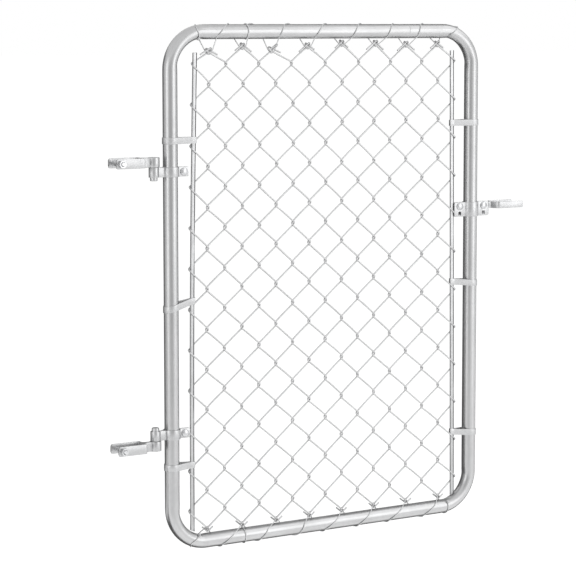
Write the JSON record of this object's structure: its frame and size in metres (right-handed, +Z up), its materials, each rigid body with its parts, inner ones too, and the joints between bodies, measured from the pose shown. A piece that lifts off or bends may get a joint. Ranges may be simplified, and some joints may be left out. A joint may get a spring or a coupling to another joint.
{
  "type": "chain link walk gate",
  "caption": "Single swing walk gate: bent tube frame with woven diamond mesh, pin hinges with strap fittings and a lifting fork latch.",
  "frame": {"origin": "on the inner face of the lower post strap's web, at the strap's mid height and in the gate's middle plane", "axes": "+X from the hinge side to the latch side, -Y to the front, +Z up along the stiles"},
  "size_m": [1.0522, 0.0582, 1.1365],
  "materials": {
    "galvanised_tube": "smooth galvanised tube with faint lengthwise streaks",
    "galvanised_wire": "drawn galvanised wire",
    "galvanised_bar": "galvanised flat bar, slightly dull",
    "galvanised_band": "thin bright galvanised strap",
    "lacing_wire": "soft galvanised tie wire",
    "galvanised_fitting": "pressed steel, hot dip zinc, satin with a light grain",
    "hinge_pin": "round bar, zinc coated, rubbed where it turns",
    "plated_bolt": "bright zinc plated"
  },
  "bodies": {
    "post_side": {"lower_post_hinge_strap": "galvanised_fitting", "lower_hinge_pin": "hinge_pin", "lower_post_hinge_bolt": "plated_bolt", "lower_post_hinge_nut": "plated_bolt", "upper_post_hinge_strap": "galvanised_fitting", "upper_hinge_pin": "hinge_pin", "upper_post_hinge_bolt": "plated_bolt", "upper_post_hinge_nut": "plated_bolt"},
    "leaf": {"left_stile": "galvanised_tube", "right_stile": "galvanised_tube", "top_rail": "galvanised_tube", "bottom_rail": "galvanised_tube", "diamond_mesh": "galvanised_wire", "left_tension_bar": "galvanised_bar", "right_tension_bar": "galvanised_bar", "left_tension_band_upper": "galvanised_band", "left_tension_band_middle": "galvanised_band", "left_tension_band_lower": "galvanised_band", "right_tension_band_upper": "galvanised_band", "right_tension_band_middle": "galvanised_band", "right_tension_band_lower": "galvanised_band", "top_lacing_wire": "lacing_wire", "bottom_lacing_wire": "lacing_wire", "lower_gate_hinge_strap": "galvanised_fitting", "lower_gate_hinge_bolt": "plated_bolt", "lower_gate_hinge_nut": "plated_bolt", "upper_gate_hinge_strap": "galvanised_fitting", "upper_gate_hinge_bolt": "plated_bolt", "upper_gate_hinge_nut": "plated_bolt", "latch_front_clamp": "galvanised_fitting", "latch_back_clamp": "galvanised_fitting", "latch_inner_bolt": "plated_bolt", "latch_inner_nut": "plated_bolt", "latch_pivot_bolt": "plated_bolt", "latch_pivot_nut": "plated_bolt"},
    "fork": {"latch_fork": "galvanised_fitting"}
  },
  "joints": [
    {"name": "gate_swing", "type": "hinge", "parent": "post_side", "child": "leaf", "pos_m": [0.0317, 0, 0.3026], "axis": [0, 0, 1], "range_deg": [-90, 90]},
    {"name": "fork_lift", "type": "hinge", "parent": "leaf", "child": "fork", "pos_m": [0.88575, 0, 0.4765], "axis": [0, -1, 0], "range_deg": [0, 90]}
  ]
}
